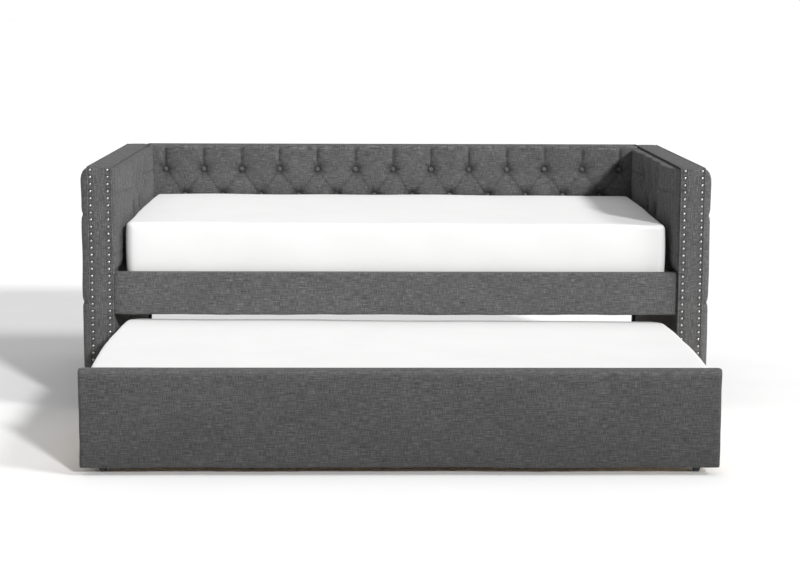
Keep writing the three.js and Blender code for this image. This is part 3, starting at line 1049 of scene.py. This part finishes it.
def mattress(node, body, seed, corner, bow, settled):
    """A foam mattress in a knitted cover. corner is the radius of its upright edges, and bow is how
    far its ends curve out. settled is how far its top corners stand above the CAD solid: front left,
    front right, rear left, rear right."""
    low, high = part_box(node)
    piece = soft_box(f"{node}_cover", low, high, corner, MATTRESS_ROLL, SMOOTH_STEP)
    centre = (low + high) / 2
    half = (high - low) / 2

    def settle(points, normals):
        x, y, z = ((points - np.array(centre)) / np.array(half)).T
        right, rear, up = (x + 1) / 2, (y + 1) / 2, np.clip((z + 1) / 2, 0, 1)
        front_lift = settled[0] * (1 - right) + settled[1] * right
        rear_lift = settled[2] * (1 - right) + settled[3] * right
        lift = (front_lift * (1 - rear) + rear_lift * rear) * up
        crown = 0.003 * (1 - x**2) * (1 - y**2)
        wander = 0.0012 * ripple(points[:, 0], points[:, 1], seed, wavelength=0.5)
        upward = np.clip(normals[:, 2], 0, 1)
        level = np.hypot(normals[:, 0], normals[:, 1])
        along = points[:, 0] + points[:, 1]
        pulled_in = -0.004 * z**2
        sides = pulled_in + 0.0008 * ripple(along, points[:, 2], seed + 5, wavelength=0.3)
        shift = normals * (upward * (crown + wander) + level * sides)[:, None]
        shift[:, 2] += lift
        shift[:, 0] += bow * x**3 * (1 - y**2)
        return shift

    move_points(piece, settle)
    # painted shade: the upright sides are painted darker than the top, by BORDER_SHADE
    upright = [1 - abs(vertex.normal.z) for vertex in piece.data.vertices]
    set_shade(piece, BORDER_SHADE * np.array(upright))
    finish_piece(piece, TICKING, body, [node])


# ---- trundle slats ----


def slat_roll():
    """Ten rounded slats stapled to two woven straps, across the trundle's beams."""
    low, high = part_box("trundle_slat_roll")
    count = 10
    width = 0.08
    strap_width = 0.035
    strap = 0.0018  # its thickness
    pitch = (high.x - low.x - width) / (count - 1)
    grain = timber("trundle_slat_grain", 1, (0.52, 0.36, 0.2), (0.74, 0.57, 0.37), 4.0)
    for k in range(count):
        x = low.x + k * pitch
        corner = (x + width, high.y, high.z - strap)
        name = f"trundle_slat_{k + 1:02d}"
        slat = soft_box(name, (x, low.y, low.z), corner, 0.003, 0.003, 0.06)
        finish_piece(slat, grain, "trundle")
    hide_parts("trundle_slat_roll")
    for word, share in (("front", 0.28), ("rear", 0.72)):
        middle = low.y + share * (high.y - low.y)
        across = np.arange(low.x, high.x, 0.006)
        past_slat = np.clip(((across - low.x) % pitch - width) / (pitch - width), 0, 1)
        sag = strap * np.sin(math.pi * past_slat)
        ys = np.array([-0.5, -0.47, 0.47, 0.5, 0.47, -0.47]) * strap_width + middle
        zs = np.array([0.5, 1, 1, 0.5, 0, 0]) * strap
        rings = np.zeros((len(across), len(ys), 3))
        rings[..., 0] = across[:, None]
        rings[..., 1] = ys
        rings[..., 2] = high.z - strap + zs - sag[:, None]
        tape = loft(f"trundle_{word}_webbing", rings, across)
        finish_piece(tape, WEBBING, "trundle")


# ---- materials on the CAD parts that stay ----


def dress_cad():
    """Grain, coats and softened edges for the CAD nodes that show as they are."""
    dark, light = (0.47, 0.31, 0.16), (0.72, 0.53, 0.32)
    softwood = [timber(f"softwood_grain_{'xyz'[k]}", k, dark, light, 1.0 + k) for k in range(3)]
    birch = timber("slat_grain", 1, (0.58, 0.42, 0.25), (0.78, 0.62, 0.42), 7.0)
    plywood = timber("plywood_grain", 0, (0.44, 0.3, 0.17), (0.66, 0.49, 0.3), 9.0)
    kinds = {
        "softwood": None,
        "slat_wood": birch,
        "plywood": plywood,
        "black_plastic": BLACK_PLASTIC,
        "black_steel": BLACK_STEEL,
        "zinc_steel": ZINC,
    }
    edges = {"black_steel": 0.0006, "zinc_steel": 0.0005, "black_plastic": 0.001}
    slots = {s["node"]: s["material_slot"] for s in frame["record"]["subparts"]}
    for node, piece in frame["nodes"].items():
        kind = slots[node]
        if piece.hide_render or kind not in kinds:
            continue
        low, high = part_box(node)
        longest = max(range(3), key=lambda k: high[k] - low[k])
        piece.data.materials.clear()
        piece.data.materials.append(kinds[kind] or softwood[longest])
        weld = piece.modifiers.new("weld", "WELD")
        weld.merge_threshold = 0.00002
        ease = piece.modifiers.new("eased_edges", "BEVEL")
        ease.width = edges.get(kind, 0.0018)
        ease.segments = 2
        ease.limit_method = "ANGLE"
        ease.angle_limit = math.radians(35)


# ---- floor, light and camera ----


def stage():
    """A pale floor that runs to the horizon, under a soft studio sky that is brightest low down."""
    bpy.ops.mesh.primitive_plane_add(size=FLOOR_SIZE)
    floor = bpy.context.object
    floor.name = "floor"
    g = Graph("pale_floor", 0.9)
    g.paint(g.ramp(g.noise(g.place(), (3, 3, 3), 2.0), [(0.3, 0.92), (0.7, 0.94)]))
    floor.data.materials.append(g.material)

    world = bpy.data.worlds.new("studio")
    bpy.context.scene.world = world
    world.use_nodes = True
    nodes, links = world.node_tree.nodes, world.node_tree.links
    direction = nodes.new("ShaderNodeTexCoord").outputs["Generated"]
    split = nodes.new("ShaderNodeSeparateXYZ")
    links.new(direction, split.inputs["Vector"])
    ramp = nodes.new("ShaderNodeValToRGB")
    for _ in SKY[2:]:
        ramp.color_ramp.elements.new(0.5)
    for element, (height, grey) in zip(ramp.color_ramp.elements, SKY):
        element.position = height
        element.color = (grey, grey, grey, 1)
    links.new(split.outputs["Z"], ramp.inputs["Fac"])
    links.new(ramp.outputs["Color"], nodes["Background"].inputs["Color"])


def sun(name, travel, power, angle):
    """Even light from one side of the studio. A wide angle gives soft shadows."""
    lamp = bpy.data.lights.new(name, "SUN")
    lamp.energy = power
    lamp.angle = math.radians(angle)
    made = bpy.data.objects.new(name, lamp)
    made.rotation_euler = Vector(travel).to_track_quat("-Z", "Y").to_euler()
    bpy.context.scene.collection.objects.link(made)


def camera():
    """A long lens in front and a little left of the middle, looking slightly down."""
    pitch, yaw, roll = math.radians(8.37), math.radians(0.96), math.radians(0.21)
    place = Vector((-0.098, -6.67, 1.395))
    forward = Vector((math.sin(yaw) * math.cos(pitch), math.cos(yaw) * math.cos(pitch), -math.sin(pitch)))
    level = Vector((math.cos(yaw), -math.sin(yaw), 0))
    up = level.cross(forward)
    right = level * math.cos(roll) + up * math.sin(roll)
    up = up * math.cos(roll) - level * math.sin(roll)
    lens = bpy.data.cameras.new("camera")
    lens.lens = 86.1
    lens.sensor_width = 36.0
    made = bpy.data.objects.new("camera", lens)
    basis = Matrix((right, up, -forward)).transposed()
    made.matrix_world = Matrix.Translation(place) @ basis.to_4x4()
    bpy.context.scene.collection.objects.link(made)
    bpy.context.scene.camera = made


# ---- everything ----

build_back()
build_rear_cover()
for word, side in (("left", -1), ("right", 1)):
    arm_inner_face(word, side)
    arm_outer_face(word, side)
    arm_strip(word, side)
front_rail()
trundle_panel()
mattress(
    "upper_mattress", "upper_mattress", seed=61, corner=0.032, bow=0.002, settled=(0, -0.008, 0.008, 0.001)
)
mattress(
    "trundle_mattress", "trundle", seed=62, corner=0.06, bow=0.015, settled=(0.002, -0.002, 0.001, -0.009)
)
slat_roll()
dress_cad()

stage()
sun("key", travel=(-0.42, 0.82, -0.38), power=2.9, angle=5)
sun("side", travel=(-0.7, 0.35, -0.62), power=1.4, angle=14)
sun("top", travel=(0.05, 0.12, -1.0), power=0.3, angle=75)
camera()
bpy.context.scene.view_settings.view_transform = "Standard"
